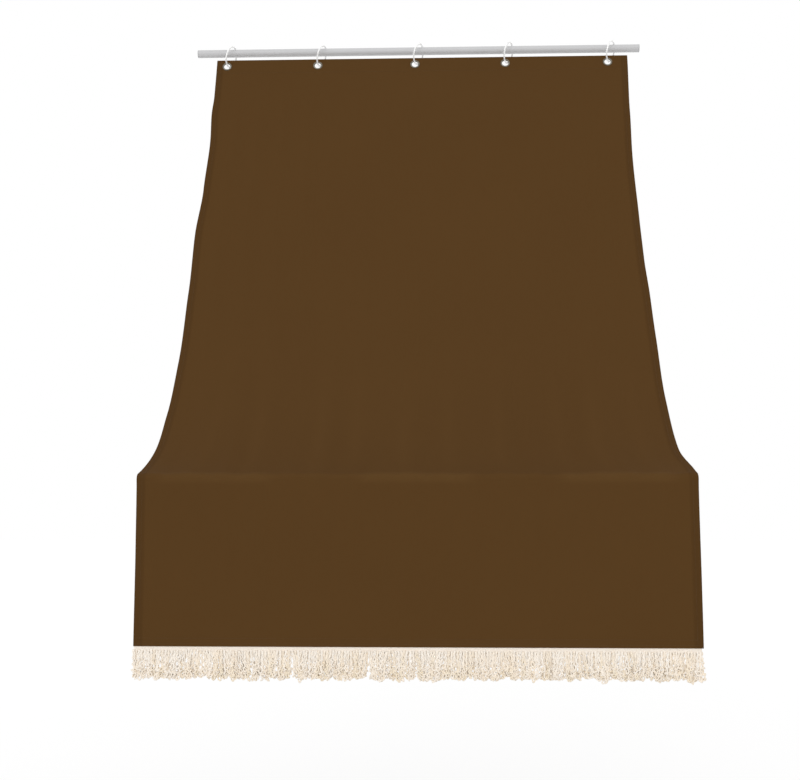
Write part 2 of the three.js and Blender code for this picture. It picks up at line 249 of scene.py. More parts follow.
class Nodes:
    """Adds nodes to a tree. An input that is a socket is linked, and anything else is set."""

    def __init__(self, tree):
        self.tree = tree

    def socket(self, sockets, key):
        if isinstance(key, int):
            return sockets[key]
        return next((s for s in sockets if s.identifier == key), None) or sockets[key]

    def add(self, kind, inputs=None, **settings):
        node = self.tree.nodes.new(kind)
        for name, value in settings.items():
            setattr(node, name, value)
        for key, value in (inputs or {}).items():
            self.plug(self.socket(node.inputs, key), value)
        return node

    def plug(self, target, value):
        if isinstance(value, bpy.types.NodeSocket):
            self.tree.links.new(value, target)
        else:
            target.default_value = value

    def math(self, operation, first, second=0.0):
        node = self.add("ShaderNodeMath", {0: first, 1: second}, operation=operation)
        return node.outputs[0]

    def plus(self, first, second):
        return self.math("ADD", first, second)

    def minus(self, first, second):
        return self.math("SUBTRACT", first, second)

    def times(self, first, second):
        return self.math("MULTIPLY", first, second)

    def blend(self, first, first_share, second, second_share):
        return self.plus(self.times(first, first_share), self.times(second, second_share))

    def vector(self, operation, first, second):
        node = self.add("ShaderNodeVectorMath", {0: first, 1: second}, operation=operation)
        return node.outputs[0]

    def scaled(self, vector, factor):
        node = self.add("ShaderNodeVectorMath", {0: vector, "Scale": factor}, operation="SCALE")
        return node.outputs[0]

    def combine(self, x=0.0, y=0.0, z=0.0):
        return self.add("ShaderNodeCombineXYZ", {0: x, 1: y, 2: z}).outputs[0]

    def separate(self, vector):
        return self.add("ShaderNodeSeparateXYZ", {0: vector}).outputs

    def noise(self, vector, scale, detail, roughness=0.5):
        return self.add("ShaderNodeTexNoise", {
            "Vector": vector, "Scale": scale, "Detail": detail,
            "Roughness": roughness}).outputs[0]

    def attribute(self, name):
        return self.add("ShaderNodeAttribute", attribute_name=name).outputs["Fac"]

    def group(self, tree, inputs):
        return self.add("ShaderNodeGroup", inputs, node_tree=tree).outputs

    def bump(self, height, distance, strength, **more):
        return self.add("ShaderNodeBump", {
            "Height": height, "Distance": distance, "Strength": strength, **more}).outputs[0]

    def stored(self, geometry, name, value):
        """Keeps a value on each point of a geometry, as a named attribute."""
        return self.add("GeometryNodeStoreNamedAttribute", {
            "Geometry": geometry, "Name": name, "Value": value},
            data_type="FLOAT", domain="POINT").outputs[0]

    def spread(self, value, low, high):
        """Maps 0 to 1 onto low to high."""
        node = self.add("ShaderNodeMapRange", {"Value": value, "To Min": low, "To Max": high})
        return node.outputs[0]

    def step(self, value, low, high, before, after):
        """Smooth step from before to after while the value goes from low to high."""
        return self.add("ShaderNodeMapRange", {
            "Value": value, "From Min": low, "From Max": high, "To Min": before,
            "To Max": after}, interpolation_type="SMOOTHSTEP").outputs[0]

    def ramp(self, value, places, colours):
        """Runs through screen colours, each at its place from 0 to 1."""
        node = self.add("ShaderNodeValToRGB", {0: value})
        points = node.color_ramp.elements
        while len(points) < len(places):
            points.new(0.5)
        for point, place, colour in zip(points, places, colours):
            point.position = place
            point.color = linear(*colour)
        return node.outputs[0]


# The hanging curve, measured along it from the rail's axis, as in the part's source

vertex_out = CURVE_RUN / 2 + CURVE_SHAPE * math.asinh(
    CURVE_DROP / (2 * CURVE_SHAPE * math.sinh(CURVE_RUN / (2 * CURVE_SHAPE))))
start_angle = vertex_out / CURVE_SHAPE
end_angle = (vertex_out - CURVE_RUN) / CURVE_SHAPE
curve_length = CURVE_SHAPE * (math.sinh(start_angle) - math.sinh(end_angle))
break_slope = math.atan(math.sinh(end_angle))
break_length = BREAK_RADIUS * (math.pi / 2 - break_slope)
break_out = CURVE_RUN - BREAK_RADIUS * math.sin(break_slope)
break_down = CURVE_DROP + BREAK_RADIUS * math.cos(break_slope)


def hang(distance):
    """Out from the rail, down from it and slope below level, at distances along the curve."""
    distance = np.asarray(distance, float)
    rise = math.sinh(start_angle) - np.minimum(distance, curve_length) / CURVE_SHAPE
    angle = np.arcsinh(rise)
    turned = np.clip((distance - curve_length) / BREAK_RADIUS, 0, math.pi / 2 - break_slope)
    slope = break_slope + turned
    dropped = np.maximum(distance - curve_length - break_length, 0)
    on_curve = distance <= curve_length
    out = np.where(on_curve, vertex_out - CURVE_SHAPE * angle,
                   break_out + BREAK_RADIUS * np.sin(slope))
    down = np.where(on_curve, CURVE_SHAPE * (math.cosh(start_angle) - np.cosh(angle)),
                    break_down - BREAK_RADIUS * np.cos(slope) + dropped)
    return out, down, np.where(on_curve, np.arctan(rise), slope)


# Rings hang in line with the cloth's pull
pull_tilt = math.pi / 2 - float(hang(0)[2])
PULL_UP = Vector((0, math.sin(pull_tilt), math.cos(pull_tilt)))
PULL_FRONT = Vector((0, -math.cos(pull_tilt), math.sin(pull_tilt)))
ALONG = Vector((1, 0, 0))


def ring_plane(turn):
    front = PULL_FRONT * math.cos(turn) - ALONG * math.sin(turn)
    across = front.cross(PULL_UP)
    if across.x < 0:
        across.negate()
    return front, PULL_UP * math.cos(RING_LEAN) + across * math.sin(RING_LEAN)


def ring_reach(turn):
    """From the rail's axis to the lowest point of the ring's centre line."""
    front, up = ring_plane(turn)
    rest = RAIL_RADIUS + RING_WIRE_RADIUS + SEAT_GAP
    passes, samples = 6, 720
    angles = np.arange(samples) * 2 * math.pi / samples
    reach = 2 * ring_radius - rest
    for _ in range(passes):
        line = (-reach * np.array(PULL_UP)
                + ring_radius * (1 + np.cos(angles))[:, None] * np.array(up)
                + ring_radius * np.sin(angles)[:, None] * np.array(front))
        reach += float(np.hypot(line[:, 1], line[:, 2]).min()) - rest
    return reach


ring_reaches = [ring_reach(turn) for turn in RING_TURNS]
eyelet_distance = min(ring_reaches) - RING_WIRE_RADIUS - SEAT_GAP + EYELET_HOLE_RADIUS
cloth_start = eyelet_distance - EYELET_DROP

# Cloth relief, as in the part's source: drape folds over the break as place, width and
# height, and a pull under each eyelet
DRAPE_FOLDS = [
    (0.150, 0.060, 0.003), (0.285, 0.055, -0.0025), (0.470, 0.062, 0.0035),
    (0.575, 0.055, -0.0025), (0.715, 0.060, 0.003), (0.845, 0.065, -0.003),
    (0.990, 0.060, 0.0025), (1.165, 0.070, -0.0035), (1.275, 0.060, 0.004),
    (1.400, 0.055, -0.002),
]
DRAPE_FOLD_ROWS = (1.180, 1.720, 2.060)
PULL_WIDTH = 0.042
PULL_HEIGHT = 0.0025
PULL_ROWS = (0.060, 0.190, 0.560)

# Finer relief of the cloth that only shows close up
PLEAT_COUNT = 17
PLEAT_HEIGHT = 0.0011
PLEAT_SWAY = 0.35
PLEAT_SWAY_ACROSS = 3
PLEAT_SWAY_DOWN = 1.9
CREASE_HEIGHT = 0.0007
CREASE_CELLS = (9, 12)
CREASE_SEED = 4
FINE_CREASE_SHARE = 0.5
FINE_CREASE_CELLS = (26, 34)
FINE_CREASE_SEED = 5
SMOOTH_TO_ROW = 0.240
SMOOTH_ABOVE_EDGE = 0.2
EDGE_CURL = 0.0035
EDGE_CURL_WIDTH = 0.022
EDGE_CURL_RISE = 0.05
EDGE_CURL_END_ROWS = (2.1, 2.39)
# Width of the painted highlight along each drape fold
FOLD_HIGHLIGHT_WIDTH = 0.018

# How far each side edge wanders, as (distance down the cloth, shift along X)
LEFT_EDGE = [
    (0, 0), (0.160, 0), (0.236, -0.004), (0.360, 0), (0.560, -0.007), (0.760, -0.0185),
    (1.000, -0.0135), (1.300, -0.006), (1.550, -0.001), (1.730, 0.004), (1.890, 0),
    (2.390, 0.001),
]
RIGHT_EDGE = [
    (0, -0.002), (0.240, -0.007), (0.444, -0.011), (0.700, -0.008), (0.860, -0.007),
    (1.030, -0.0025), (1.200, -0.003), (1.480, -0.009), (1.740, -0.0135), (1.890, 0),
    (2.390, 0.0025),
]


def edge_shift(points, down):
    shift = np.full(np.shape(down), float(points[-1][1]))
    for (low, before), (high, after) in reversed(list(zip(points, points[1:]))):
        part = before + (after - before) * ease(down, low, high)
        shift = np.where(down <= high, part, shift)
    return shift


def window(down, rows):
    return ease(down, rows[0], rows[1]) * (1 - ease(down, rows[1], rows[2]))


def soft_noise(across, down, cells, seed):
    """Smooth noise from -1 to 1 over the cloth, with cells across and down it."""
    random = np.random.default_rng(seed)
    grid = random.uniform(-1, 1, (cells[0] + 2, cells[1] + 2))
    u = np.clip(across / CLOTH_WIDTH, 0, 1) * cells[0]
    v = np.clip(down / CLOTH_LENGTH, 0, 1) * cells[1]
    i, j = u.astype(int), v.astype(int)
    s, t = ease(u - i, 0, 1), ease(v - j, 0, 1)
    return ((grid[i, j] * (1 - s) + grid[i + 1, j] * s) * (1 - t)
            + (grid[i, j + 1] * (1 - s) + grid[i + 1, j + 1] * s) * t)


def relief(across, down):
    across, down = np.broadcast_arrays(np.asarray(across, float), np.asarray(down, float))
    drape = window(down, DRAPE_FOLD_ROWS) * sum(
        height * bell(across - place, width) for place, width, height in DRAPE_FOLDS)
    pull = window(down, PULL_ROWS) * sum(
        PULL_HEIGHT * bell(across - place, PULL_WIDTH) for place in EYELET_PLACES)
    clear = (ease(down, TOP_HEM, SMOOTH_TO_ROW)
             * ease(CLOTH_LENGTH - down, BOTTOM_HEM, SMOOTH_ABOVE_EDGE))
    phase = PLEAT_COUNT * across / CLOTH_WIDTH + PLEAT_SWAY * np.sin(
        PLEAT_SWAY_DOWN * down + PLEAT_SWAY_ACROSS * across)
    pleats = PLEAT_HEIGHT * clear * np.sin(2 * math.pi * phase)
    creases = CREASE_HEIGHT * clear * (
        soft_noise(across, down, CREASE_CELLS, CREASE_SEED)
        + FINE_CREASE_SHARE * soft_noise(across, down, FINE_CREASE_CELLS, FINE_CREASE_SEED))
    edge = np.minimum(across, CLOTH_WIDTH - across)
    fold = curve_length - cloth_start
    below_fold = ease(down, fold, fold + EDGE_CURL_RISE) * (1 - ease(down, *EDGE_CURL_END_ROWS))
    curl = -EDGE_CURL * bell(edge, EDGE_CURL_WIDTH) * below_fold
    return drape + pull + pleats + creases + curl


def painted_fold_highlight(across, down):
    """Painted highlight along each drape fold above the break, from 0 to 1."""
    nearest = np.min([np.abs(across - place) for place, _, _ in DRAPE_FOLDS], axis=0)
    return bell(nearest, FOLD_HIGHLIGHT_WIDTH) * window(down, DRAPE_FOLD_ROWS)


def cloth_points(across, down, behind=0.0):
    """Points of the cloth, across from its left edge, down from its top, behind its front."""
    across, down = np.broadcast_arrays(np.asarray(across, float), np.asarray(down, float))
    out, fall, slope = hang(cloth_start + down)
    share = across / CLOTH_WIDTH
    shift = edge_shift(LEFT_EDGE, down) * (1 - share) + edge_shift(RIGHT_EDGE, down) * share
    lift = relief(across, down) - behind
    return np.stack([cloth_left + across + shift, -out - lift * np.sin(slope),
                     -fall + lift * np.cos(slope)], axis=-1)


def cloth_thickness(across, down):
    inside = np.minimum.reduce([
        ease(across, SIDE_HEM, SIDE_HEM + HEM_STEP),
        ease(CLOTH_WIDTH - across, SIDE_HEM, SIDE_HEM + HEM_STEP),
        ease(down, TOP_HEM, TOP_HEM + HEM_STEP),
        ease(CLOTH_LENGTH - down, BOTTOM_HEM, BOTTOM_HEM + HEM_STEP)])
    return hem_thickness - (hem_thickness - CLOTH_THICKNESS) * inside


def eyelet_frame(place):
    """Centre of an eyelet on the cloth's front, with Z out of the front and Y up the cloth."""
    centre = Vector(cloth_points(place, EYELET_DROP))
    slope = float(hang(eyelet_distance)[2])
    out = Vector((0, -math.sin(slope), math.cos(slope)))
    up = out.cross(ALONG)
    return Matrix.Translation(centre) @ Matrix((ALONG, up, out)).transposed().to_4x4()


# Node groups

FLOAT, VECTOR, INT = "NodeSocketFloat", "NodeSocketVector", "NodeSocketInt"
GEOMETRY, MATERIAL = "NodeSocketGeometry", "NodeSocketMaterial"


def node_group(name, kind, inputs, outputs):
    """A node group, its nodes, what it is given and what it puts out."""
    tree = bpy.data.node_groups.new(name, kind)
    for label, socket_kind in inputs:
        tree.interface.new_socket(label, in_out="INPUT", socket_type=socket_kind)
    for label, socket_kind in outputs:
        tree.interface.new_socket(label, in_out="OUTPUT", socket_type=socket_kind)
    nodes = Nodes(tree)
    given = nodes.add("NodeGroupInput").outputs
    result = nodes.add("NodeGroupOutput").inputs
    return tree, nodes, given, result


WEAVE_SLUBS = (900, 22, 1)
WEAVE_CROSS_SLUBS = (22, 900, 1)
LINE_STRETCH = (0.004, 1, 1)


def make_weave_group():
    """Plain weave from a vector in metres: thread relief, and a tone of slubs with painted
    highlight on the threads' crests.
    """
    tree, nodes, given, result = node_group(
        "plain_weave", "ShaderNodeTree", [("Vector", VECTOR), ("Thread Pitch", FLOAT)],
        [("Height", FLOAT), ("Shade", FLOAT)])
    turns = nodes.math("DIVIDE", math.pi, given["Thread Pitch"])
    u, v, _ = nodes.separate(nodes.scaled(given["Vector"], turns))
    sine_u, sine_v = nodes.math("SINE", u), nodes.math("SINE", v)
    over = nodes.math("GREATER_THAN", nodes.times(sine_u, sine_v), 0.0)
    warp_top = nodes.times(nodes.math("ABSOLUTE", sine_u), over)
    weft_top = nodes.times(nodes.math("ABSOLUTE", sine_v), nodes.minus(1.0, over))
    height = nodes.plus(warp_top, weft_top)
    slubs = [nodes.noise(nodes.vector("MULTIPLY", given["Vector"], stretch), 1.0, 2.0)
             for stretch in (WEAVE_SLUBS, WEAVE_CROSS_SLUBS)]
    nodes.plug(result["Height"], height)
    # The tone mixes the slubs with painted highlight where each thread rises
    nodes.plug(result["Shade"], nodes.blend(nodes.plus(*slubs), 0.35, height, 0.3))
    return tree


def make_mottle_group():
    """Slow, soft variation over a surface, from 0 to 1."""
    tree, nodes, given, result = node_group(
        "soft_mottle", "ShaderNodeTree", [("Vector", VECTOR), ("Scale", FLOAT)],
        [("Value", FLOAT)])
    nodes.plug(result["Value"], nodes.noise(given["Vector"], given["Scale"], 3.0))
    return tree


def make_line_group():
    """Fine drawn or brushed lines along the vector's X, from 0 to 1."""
    tree, nodes, given, result = node_group(
        "drawn_lines", "ShaderNodeTree", [("Vector", VECTOR), ("Lines", FLOAT)],
        [("Value", FLOAT)])
    stretched = nodes.vector("MULTIPLY", given["Vector"], LINE_STRETCH)
    nodes.plug(result["Value"], nodes.noise(stretched, given["Lines"], 3.0))
    return tree


WEAVE = make_weave_group()
MOTTLE = make_mottle_group()
DRAWN_LINES = make_line_group()


# Finishes

def finish_of(name, roughness, metallic=0.0, specular=0.5, sheen=0.0, coat=0.0):
    """A material whose shader has its plain numbers set, its nodes and the shader's inputs."""
    material = bpy.data.materials.new(name)
    material.use_nodes = True
    shader = material.node_tree.nodes["Principled BSDF"].inputs
    shader["Roughness"].default_value = roughness
    shader["Metallic"].default_value = metallic
    shader["Specular IOR Level"].default_value = specular
    shader["Sheen Weight"].default_value = sheen
    shader["Coat Weight"].default_value = coat
    return material, Nodes(material.node_tree), shader


def mottle_of(nodes, scale):
    """A place on the piece, and the soft variation there."""
    place = nodes.add("ShaderNodeTexCoord").outputs["Object"]
    return place, nodes.group(MOTTLE, {"Vector": place, "Scale": scale})["Value"]


# Colours as a screen shows them, each list from dark to light
CLOTH_BROWNS = [(78.5, 54.5, 27.5), (82, 57, 29), (84.6, 59.2, 30.3), (87.2, 61.5, 32.3),
                (92, 66.5, 35.5)]
THREAD_BROWNS = [(78, 55, 29), (98, 71, 41)]
YARN_CREAMS = [(245, 230, 203), (252, 239, 221), (254, 245, 233)]
TAPE_CREAMS = [(243, 230, 214), (251, 241, 229)]
RAIL_GREYS = [(196, 196, 197), (202, 202, 203)]
PLUG_GREYS = [(188, 188, 188), (196, 196, 196)]
RING_WHITES = [(251, 251, 250), (254, 254, 253)]
NICKEL_GREYS = [(114, 109, 98), (144, 138, 125)]

CLOTH_THREAD_PITCH = 0.0007
CLOTH_THREAD_RISE = 0.00016
CLOTH_RUMPLE_RISE = 0.0011
HEM_SHADE_WIDTH = 0.028
HEM_SHADE_FADE = 0.008
# Painted highlight over the break, in three long patches
BREAK_HIGHLIGHT_ABOVE = 0.030
BREAK_HIGHLIGHT_BELOW = 0.014
BREAK_HIGHLIGHT_SPACING = 0.54
BREAK_HIGHLIGHT_PLACE = 0.21
BREAK_HIGHLIGHT_LIGHTER = 0.27
FOLD_HIGHLIGHT_LIGHTER = 0.12
# How much painted shade darkens the side hems
HEM_PAINTED_SHADE = 0.4
TAPE_THREAD_PITCH = 0.0011
YARN_LAY = 0.007
YARN_PLIES = 2.0
BREAK_HIGHLIGHT_EDGES = (-0.5, 0.1)
RING_TRANSLUCENCE = 0.6
RING_LIGHT_DEPTH = 0.004

# How fine the mottle and the lines of each surface are, and how high its relief
CLOTH_MOTTLE = 2.2
THREAD_MOTTLE = 160.0
YARN_MOTTLE = 45.0
TAPE_MOTTLE = 30.0
RAIL_MOTTLE = 9.0
PLUG_MOTTLE = 700.0
RING_MOTTLE = 120.0
NICKEL_MOTTLE = 260.0
RAIL_LINES = 700.0
NICKEL_LINES = 1500.0
THREAD_RISE = 0.0002
YARN_PLY_RISE = 0.0004
TAPE_THREAD_RISE = 0.0003
RAIL_LINE_RISE = 0.00004
PLUG_GRAIN_RISE = 0.0001
NICKEL_LINE_RISE = 0.00003


def make_cloth_finish():
    material, nodes, shader = finish_of("brown_canvas", 0.9, specular=0.04)
    uv = nodes.add("ShaderNodeUVMap", uv_map="UVMap").outputs[0]
    weave = nodes.group(WEAVE, {"Vector": uv, "Thread Pitch": CLOTH_THREAD_PITCH})
    mottle = nodes.group(MOTTLE, {"Vector": uv, "Scale": CLOTH_MOTTLE})["Value"]
    # The weave's tone holds painted highlight on the threads' crests
    tone = nodes.blend(weave["Shade"], 0.7, mottle, 0.3)

    # Painted shade: the cloth is a little darker along its side hems
    across, down, _ = nodes.separate(uv)
    from_edge = nodes.math("MINIMUM", across, nodes.minus(CLOTH_WIDTH, across))
    tone = nodes.minus(tone, nodes.step(
        from_edge, HEM_SHADE_WIDTH - HEM_SHADE_FADE, HEM_SHADE_WIDTH, HEM_PAINTED_SHADE, 0.0))

    # Painted highlight: over the break the cloth is paler, in three long patches
    fold = curve_length - cloth_start
    break_highlight = nodes.times(
        nodes.step(down, fold - BREAK_HIGHLIGHT_ABOVE, fold, 0.0, 1.0),
        nodes.step(down, fold + break_length, fold + break_length + BREAK_HIGHLIGHT_BELOW, 1.0, 0.0))
    turns = nodes.times(nodes.minus(across, BREAK_HIGHLIGHT_PLACE), 2 * math.pi / BREAK_HIGHLIGHT_SPACING)
    highlight_patches = nodes.step(nodes.math("COSINE", turns), *BREAK_HIGHLIGHT_EDGES, 0.0, BREAK_HIGHLIGHT_LIGHTER)
    tone = nodes.plus(tone, nodes.times(break_highlight, highlight_patches))
    # Painted highlight along the drape folds above the break
    tone = nodes.plus(tone, nodes.times(nodes.attribute("fold_highlight"), FOLD_HIGHLIGHT_LIGHTER))
    nodes.plug(shader["Base Color"],
               nodes.ramp(tone, (0.05, 0.3, 0.5, 0.75, 1.0), CLOTH_BROWNS))
    nodes.plug(shader["Roughness"], nodes.spread(mottle, 0.84, 0.96))
    rumple = nodes.bump(nodes.noise(uv, 34.0, 4.0, 0.55), CLOTH_RUMPLE_RISE, 0.35)
    nodes.plug(shader["Normal"],
               nodes.bump(weave["Height"], CLOTH_THREAD_RISE, 0.5, Normal=rumple))
    return material


def make_thread_finish():
    material, nodes, shader = finish_of("sewing_thread", 0.7, specular=0.3, sheen=0.1)
    _, mottle = mottle_of(nodes, THREAD_MOTTLE)
    nodes.plug(shader["Base Color"], nodes.ramp(mottle, (0.3, 0.7), THREAD_BROWNS))
    nodes.plug(shader["Normal"], nodes.bump(mottle, THREAD_RISE, 0.4))
    return material


def make_yarn_finish():
    material, nodes, shader = finish_of("cream_yarn", 0.85, specular=0.2, sheen=0.8)
    _, mottle = mottle_of(nodes, YARN_MOTTLE)
    tone = nodes.blend(nodes.attribute("tone"), 0.45, mottle, 0.4)
    # Painted light: the yarn is lighter near its roots and darker lower down each loop
    tone = nodes.plus(tone, nodes.spread(nodes.attribute("fall"), 0.3, 0.05))
    nodes.plug(shader["Base Color"], nodes.ramp(tone, (0.2, 0.5, 0.8), YARN_CREAMS))
    nodes.plug(shader["Roughness"], nodes.spread(mottle, 0.78, 0.92))

    # The twist of its plies, from the yarn's length and the way round it
    twist = nodes.plus(nodes.math("DIVIDE", nodes.attribute("along"), YARN_LAY),
                       nodes.times(nodes.attribute("around"), YARN_PLIES))
    plies = nodes.math("ABSOLUTE", nodes.math("SINE", nodes.times(twist, 2 * math.pi)))
    nodes.plug(shader["Normal"], nodes.bump(plies, YARN_PLY_RISE, 0.5))
    return material


def make_tape_finish():
    material, nodes, shader = finish_of("cream_tape", 0.85, specular=0.25, sheen=0.1)
    place, mottle = mottle_of(nodes, TAPE_MOTTLE)
    x, _, z = nodes.separate(place)
    weave = nodes.group(WEAVE, {
        "Vector": nodes.combine(x, z), "Thread Pitch": TAPE_THREAD_PITCH})
    # The weave's tone holds painted highlight on the threads' crests
    tone = nodes.blend(weave["Shade"], 0.6, mottle, 0.4)
    nodes.plug(shader["Base Color"], nodes.ramp(tone, (0.2, 0.6), TAPE_CREAMS))
    nodes.plug(shader["Normal"], nodes.bump(weave["Height"], TAPE_THREAD_RISE, 0.6))
    return material


def make_rail_finish():
    material, nodes, shader = finish_of("satin_aluminium", 0.5, metallic=0.08, specular=0.3)
    place, mottle = mottle_of(nodes, RAIL_MOTTLE)
    lines = nodes.group(DRAWN_LINES, {"Vector": place, "Lines": RAIL_LINES})["Value"]
    tone = nodes.blend(lines, 0.7, mottle, 0.3)
    nodes.plug(shader["Base Color"], nodes.ramp(tone, (0.3, 0.7), RAIL_GREYS))
    nodes.plug(shader["Roughness"], nodes.spread(tone, 0.44, 0.56))
    nodes.plug(shader["Normal"], nodes.bump(lines, RAIL_LINE_RISE, 0.5))
    return material


def make_plug_finish():
    material, nodes, shader = finish_of("grey_plug_plastic", 0.5)
    _, mottle = mottle_of(nodes, PLUG_MOTTLE)
    nodes.plug(shader["Base Color"], nodes.ramp(mottle, (0.3, 0.7), PLUG_GREYS))
    nodes.plug(shader["Normal"], nodes.bump(mottle, PLUG_GRAIN_RISE, 0.5))
    return material


def make_ring_finish():
    material, nodes, shader = finish_of("white_ring_plastic", 0.3, coat=0.2)
    shader["Subsurface Weight"].default_value = RING_TRANSLUCENCE
    shader["Subsurface Radius"].default_value = (1, 1, 1)
    shader["Subsurface Scale"].default_value = RING_LIGHT_DEPTH
    _, mottle = mottle_of(nodes, RING_MOTTLE)
    nodes.plug(shader["Base Color"], nodes.ramp(mottle, (0.3, 0.7), RING_WHITES))
    nodes.plug(shader["Roughness"], nodes.spread(mottle, 0.25, 0.38))
    return material


def make_eyelet_finish():
    material, nodes, shader = finish_of("dull_nickel", 0.45, metallic=0.9, specular=0.2)
    place, mottle = mottle_of(nodes, NICKEL_MOTTLE)
    lines = nodes.group(DRAWN_LINES, {"Vector": place, "Lines": NICKEL_LINES})["Value"]
    nodes.plug(shader["Base Color"], nodes.ramp(mottle, (0.3, 0.75), NICKEL_GREYS))
    nodes.plug(shader["Roughness"], nodes.spread(lines, 0.38, 0.54))
    nodes.plug(shader["Normal"], nodes.bump(lines, NICKEL_LINE_RISE, 0.4))
    return material


CLOTH_FINISH = make_cloth_finish()
THREAD_FINISH = make_thread_finish()
YARN_FINISH = make_yarn_finish()
TAPE_FINISH = make_tape_finish()
RAIL_FINISH = make_rail_finish()
PLUG_FINISH = make_plug_finish()
RING_FINISH = make_ring_finish()
EYELET_FINISH = make_eyelet_finish()


# As the rings are drawn together, the cloth round each eyelet stays flat and the cloth
# between two of them folds up, and so does what runs along the whole hem
FLAT_REACH = 0.020
eyelet_x = [float(eyelet_frame(place).translation.x) for place in EYELET_PLACES]


def gather_between(piece):
    """Gives the cloth between an eyelet and the next one a mesh of its own."""
    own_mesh(piece)


def gather_along(piece):
    """Gives a piece as wide as the cloth a mesh of its own."""
    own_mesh(piece)


def dress(piece, material, body, slot, *nodes):
    """Gives a piece its finish and body, and hides the nodes that it stands for. The slot is not
    used.
    """
    piece.data.materials.clear()
    piece.data.materials.append(material)
    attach(piece, body)
    if nodes:
        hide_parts(*nodes)
    return piece


def add_hard_piece(mesh, material, body, slot, node):
    mark_sharp(mesh)
    dress(add_object(mesh.name, mesh), material, body, slot, node)


# Rail and plugs

def make_rail():
    half = RAIL_LENGTH / 2 - PLUG_FLANGE - SEAT_GAP
    bore = RAIL_RADIUS - RAIL_WALL
    tube = lathe("satin_rail", [
        (bore, -half), (RAIL_RADIUS - RAIL_EDGE, -half), (RAIL_RADIUS, -half + RAIL_EDGE),
        (RAIL_RADIUS, half - RAIL_EDGE), (RAIL_RADIUS - RAIL_EDGE, half), (bore, half)],
        RAIL_SEGMENTS, Matrix.Rotation(math.pi / 2, 4, "Y"))
    add_hard_piece(tube, RAIL_FINISH, "rail", "rail", "rail_tube")


def make_plugs():
    stem = RAIL_RADIUS - RAIL_WALL - SEAT_GAP
    foot = -PLUG_FLANGE - PLUG_DEPTH
    bevel = PLUG_EDGE / 3
    rim, dimple = (RAIL_RADIUS * share for share in PLUG_DIMPLE_SHARES)
    profile = [
        (0, foot), (stem - PLUG_EDGE, foot), (stem, foot + PLUG_EDGE), (stem, -PLUG_FLANGE),
        (RAIL_RADIUS - bevel, -PLUG_FLANGE), (RAIL_RADIUS, -PLUG_FLANGE + bevel),
        (RAIL_RADIUS, -PLUG_EDGE), (RAIL_RADIUS - bevel, -bevel), (RAIL_RADIUS - PLUG_EDGE, 0),
        (rim, 0), (dimple, -PLUG_EDGE), (0, -PLUG_EDGE)]
    for side, turn in (("left", -1), ("right", 1)):
        place = Matrix.Translation((turn * RAIL_LENGTH / 2, 0, 0)) @ Matrix.Rotation(
            turn * math.pi / 2, 4, "Y")
        plug = lathe(f"end_plug_{side}", profile, PLUG_SEGMENTS, place, closed=False)
        add_hard_piece(plug, PLUG_FINISH, "rail", "plug", f"rail_plug_{side}")


make_rail()
make_plugs()


# Rings, eyelets and washers

def make_ring(index):
    front, up = ring_plane(RING_TURNS[index])
    centre = Vector((eyelet_frame(EYELET_PLACES[index]).translation.x, 0, 0))
    centre += -PULL_UP * ring_reaches[index] + up * ring_radius
    back = -front
    side = back.cross(up)
    opening = RING_PARTING / ring_radius
    points, faces = [], []
    for i in range(RING_STEPS + 1):
        angle = RING_PARTING_AT + opening / 2 + i / RING_STEPS * (2 * math.pi - opening)
        radial = back * math.sin(angle) + up * math.cos(angle)
        wire = RING_WIRE_RADIUS * (RING_END_SHARE if i in (0, RING_STEPS) else 1)
        for k in range(RING_SIDES):
            turn = 2 * math.pi * k / RING_SIDES
            points.append(centre + radial * (ring_radius + wire * math.cos(turn))
                          + side * wire * math.sin(turn))
    for i in range(RING_STEPS):
        here, there = i * RING_SIDES, (i + 1) * RING_SIDES
        for k in range(RING_SIDES):
            nxt = (k + 1) % RING_SIDES
            faces.append((here + k, here + nxt, there + nxt, there + k))
    last = RING_STEPS * RING_SIDES
    faces.append(tuple(range(RING_SIDES)))
    faces.append(tuple(reversed(range(last, last + RING_SIDES))))
    ring = mesh_from(f"white_ring_{index + 1}", points, faces)
    with bmesh_of(ring) as bm:
        bmesh.ops.recalc_face_normals(bm, faces=bm.faces)
    add_hard_piece(ring, RING_FINISH, CARRIERS[index], "ring", f"ring_{index + 1}")


def make_eyelet(index):
    place = eyelet_frame(EYELET_PLACES[index])
    top = SEAT_GAP + EYELET_FLANGE_RISE
    seat = -hem_thickness - SEAT_GAP - WASHER_THICKNESS - SEAT_GAP
    bottom = seat - EYELET_CURL_THICKNESS
    rounding = (top - bottom) / 2
    centre = EYELET_HOLE_RADIUS + rounding
    profile = [(centre + rounding * math.cos(math.pi * (0.5 + i / EYELET_BARREL_STEPS)),
                (top + bottom) / 2
                + rounding * math.sin(math.pi * (0.5 + i / EYELET_BARREL_STEPS)))
               for i in range(EYELET_BARREL_STEPS + 1)]
    profile += [(barrel_radius + EYELET_CURL, bottom + EYELET_CURL_THICKNESS / 2),
                (barrel_radius + EYELET_CURL, seat), (barrel_radius, seat),
                (barrel_radius, SEAT_GAP), (EYELET_FLANGE_RADIUS - NICKEL_EDGE, SEAT_GAP)]
    flange = EYELET_FLANGE_RADIUS - centre
    profile += [(centre + flange * math.cos(math.pi / 2 * i / EYELET_RIM_STEPS),
                 SEAT_GAP + NICKEL_EDGE + (EYELET_FLANGE_RISE - NICKEL_EDGE)
                 * math.sin(math.pi / 2 * i / EYELET_RIM_STEPS))
                for i in range(EYELET_RIM_STEPS)]
    eyelet = lathe(f"nickel_eyelet_{index + 1}", profile, EYELET_SEGMENTS, place)
    add_hard_piece(eyelet, EYELET_FINISH, CARRIERS[index], "eyelet", f"eyelet_{index + 1}")


